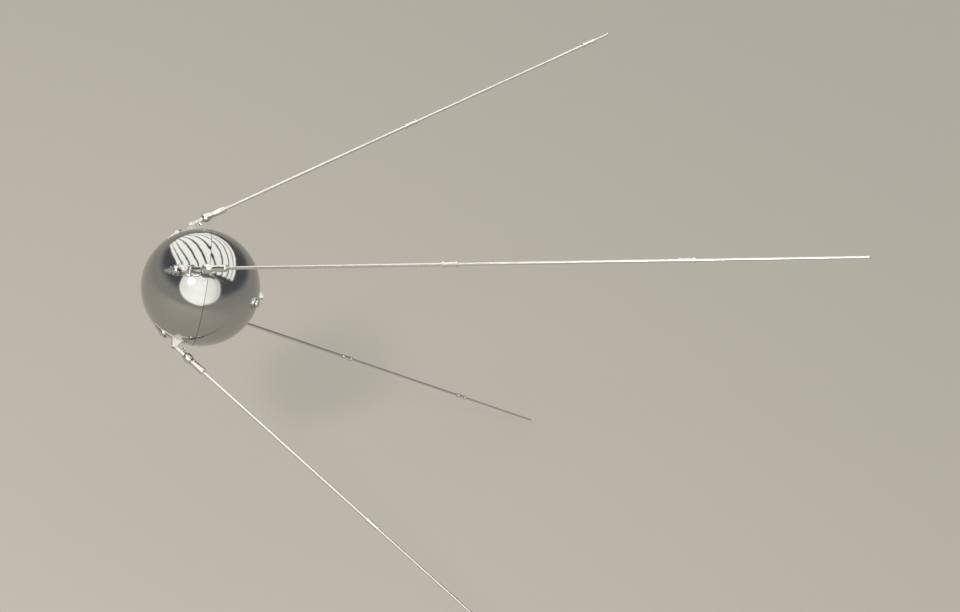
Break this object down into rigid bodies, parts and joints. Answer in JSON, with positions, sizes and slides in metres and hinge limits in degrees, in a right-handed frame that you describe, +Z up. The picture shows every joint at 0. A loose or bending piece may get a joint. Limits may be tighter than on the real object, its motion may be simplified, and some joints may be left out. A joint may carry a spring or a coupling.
{
  "type": "spherical satellite with rod antennas",
  "caption": "Polished spherical satellite with a pierced front heat shield and swept-back rod antennas on sprung hinges.",
  "frame": {"origin": "the centre of the sphere, where the free-flying satellite is held", "axes": "+X aft, along the line on which the antennas trail and out of the separation contact at the rear pole; -X to the front pole of the heat shield; +Z up, midway between the two upper antennas; +Y to the side of the filling valve"},
  "size_m": [2.757, 2.9784, 2.9784],
  "materials": {
    "polished_aluminium": "mirror polished",
    "hull_aluminium": "polished",
    "rubber_seal": "matte",
    "battery_casing": "satin",
    "frame_aluminium": "satin",
    "fitting_steel": "fine brushed",
    "insulator": "smooth",
    "foot_aluminium": "polished",
    "root_aluminium": "polished",
    "rod_aluminium": "drawn tube, lightly polished",
    "rod_joint_metal": "turned"
  },
  "bodies": {
    "hull": {"rear_shell": "hull_aluminium", "front_shell": "hull_aluminium", "seal_ring": "rubber_seal", "heat_shield": "polished_aluminium", "battery_block": "battery_casing", "battery_frame": "frame_aluminium", "separation_contact": "fitting_steel", "test_connector": "fitting_steel", "connector_cover": "fitting_steel", "filling_valve": "fitting_steel", "feed_fittings": "insulator", "hinge_pins": "fitting_steel", "hinge_springs": "fitting_steel", "antenna_1_foot": "foot_aluminium", "antenna_2_foot": "foot_aluminium", "antenna_3_foot": "foot_aluminium", "antenna_4_foot": "foot_aluminium"},
    "antenna_1": {"antenna_1_hinge_arm": "root_aluminium", "antenna_1_root_sleeve": "root_aluminium", "antenna_1_rod_inner": "rod_aluminium", "antenna_1_rod_middle": "rod_aluminium", "antenna_1_rod_outer": "rod_aluminium", "antenna_1_rod_joints": "rod_joint_metal"},
    "antenna_2": {"antenna_2_hinge_arm": "root_aluminium", "antenna_2_root_sleeve": "root_aluminium", "antenna_2_rod_inner": "rod_aluminium", "antenna_2_rod_middle": "rod_aluminium", "antenna_2_rod_outer": "rod_aluminium", "antenna_2_rod_joints": "rod_joint_metal"},
    "antenna_3": {"antenna_3_hinge_arm": "root_aluminium", "antenna_3_root_sleeve": "root_aluminium", "antenna_3_rod_inner": "rod_aluminium", "antenna_3_rod_middle": "rod_aluminium", "antenna_3_rod_outer": "rod_aluminium", "antenna_3_rod_joints": "rod_joint_metal"},
    "antenna_4": {"antenna_4_hinge_arm": "root_aluminium", "antenna_4_root_sleeve": "root_aluminium", "antenna_4_rod_inner": "rod_aluminium", "antenna_4_rod_middle": "rod_aluminium", "antenna_4_rod_outer": "rod_aluminium", "antenna_4_rod_joints": "rod_joint_metal"}
  },
  "joints": [
    {"name": "antenna_1_hinge", "type": "hinge", "parent": "hull", "child": "antenna_1", "pos_m": [-0.09011, 0.21933, 0.21933], "axis": [0, 0.7071, -0.7071], "range_deg": [0, 12], "stiffness_Nm_per_rad": 60, "springref_deg": -40.11},
    {"name": "antenna_2_hinge", "type": "hinge", "parent": "hull", "child": "antenna_2", "pos_m": [-0.09011, -0.21933, 0.21933], "axis": [0, 0.7071, 0.7071], "range_deg": [0, 12], "stiffness_Nm_per_rad": 60, "springref_deg": -40.11},
    {"name": "antenna_3_hinge", "type": "hinge", "parent": "hull", "child": "antenna_3", "pos_m": [-0.09011, 0.21933, -0.21933], "axis": [0, -0.7071, -0.7071], "range_deg": [0, 12], "stiffness_Nm_per_rad": 60, "springref_deg": -40.11},
    {"name": "antenna_4_hinge", "type": "hinge", "parent": "hull", "child": "antenna_4", "pos_m": [-0.09011, -0.21933, -0.21933], "axis": [0, -0.7071, 0.7071], "range_deg": [0, 12], "stiffness_Nm_per_rad": 60, "springref_deg": -40.11}
  ]
}
